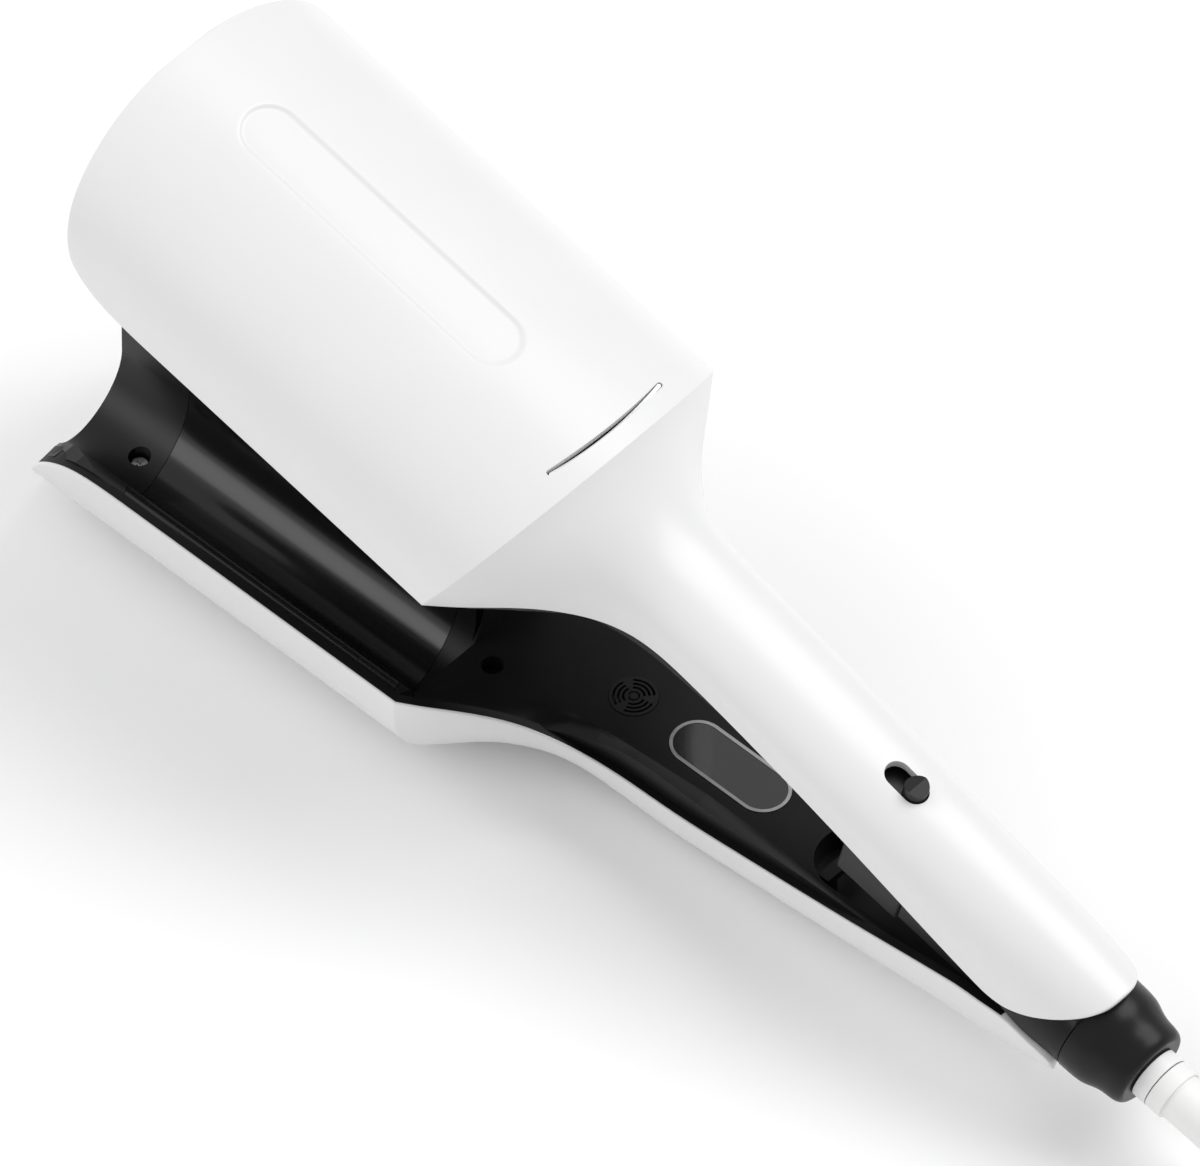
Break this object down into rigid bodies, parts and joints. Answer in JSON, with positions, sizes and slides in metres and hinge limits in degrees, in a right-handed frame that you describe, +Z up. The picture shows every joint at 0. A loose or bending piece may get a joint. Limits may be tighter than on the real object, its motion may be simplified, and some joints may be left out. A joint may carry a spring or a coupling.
{
  "type": "hair waver",
  "caption": "Hair waver with two sprung deep-wave jaws on a tail hinge, a lock slider, a touch display in the handle and a swivelling mains lead.",
  "frame": {"origin": "on the surface the lower jaw's belly lies on, under the centre of the object without its lead", "axes": "+Z up, +X towards the hinge and the lead, -X towards the tips, +Y across the head"},
  "size_m": [0.419, 0.1465, 0.1291],
  "materials": {
    "shell": "white, satin gloss",
    "housing": "black, fine matt texture",
    "cap": "black heat-resistant, matt",
    "plate": "black ceramic coating on aluminium, satin",
    "screw": "dark zinc",
    "ceramic": "off-white ceramic",
    "spring_steel": "plain",
    "steel": "ground",
    "bronze": "sintered bronze",
    "board": "green solder mask",
    "component": "moulded",
    "light": "clear diffusing",
    "boss": "dark grey",
    "slider": "dark grey",
    "collar": "black",
    "swivel": "white",
    "lead": "white, matt",
    "tie": "white",
    "plug": "white moulded",
    "pins": "nickel plated",
    "bezel": "satin silver",
    "display": "black glass look",
    "grille": "dark grey",
    "plugs": "black"
  },
  "bodies": {
    "upper_jaw": {"upper_cover": "shell", "upper_inner_housing": "housing", "upper_tip_cap": "cap", "upper_wave_plate": "plate", "upper_cap_screws": "screw", "upper_heaters": "ceramic", "upper_heater_clamps": "spring_steel", "thermal_fuse": "steel", "power_board": "board", "filter_capacitor": "component", "light_guide": "light", "lock_boss": "boss", "hinge_block": "housing", "hinge_side_covers": "housing", "hinge_pin": "steel", "opening_spring": "spring_steel", "tail_collar": "collar", "strain_relief": "lead", "mains_lead": "lead", "lead_coil": "lead", "coil_tie": "tie", "plug_body": "plug", "plug_relief": "plug", "plug_pins": "pins"},
    "lower_jaw": {"lower_cover": "shell", "lower_inner_housing": "housing", "lower_tip_cap": "cap", "lower_wave_plate": "plate", "lower_cap_screws": "screw", "lower_heater": "ceramic", "lower_heater_clamp": "spring_steel", "lower_thermistor": "ceramic", "control_board": "board", "display_bezel": "bezel", "display_panel": "display", "ion_grille": "grille", "ion_generator": "component", "screw_plugs": "plugs", "lock_catch": "housing", "hinge_bushes": "bronze"},
    "lock_slide": {"lock_slider": "slider"},
    "lead_swivel": {"swivel_barrel": "swivel"}
  },
  "joints": [
    {"name": "jaw_hinge", "type": "hinge", "parent": "upper_jaw", "child": "lower_jaw", "pos_m": [0.1269, 0, 0.0265], "axis": [0, 1, 0], "range_deg": [0, 13], "stiffness_Nm_per_rad": 1.2, "springref_deg": -25.78, "deforming": ["opening_spring"]},
    {"name": "lock_slide_travel", "type": "slide", "parent": "upper_jaw", "child": "lock_slide", "axis": [-0.9744, 0, 0.225], "range_m": [0, 0.0052]},
    {"name": "lead_swivel_turn", "type": "hinge", "parent": "upper_jaw", "child": "lead_swivel", "pos_m": [0.14834, 0, 0.02155], "axis": [0.9744, 0, -0.225], "continuous": true}
  ]
}
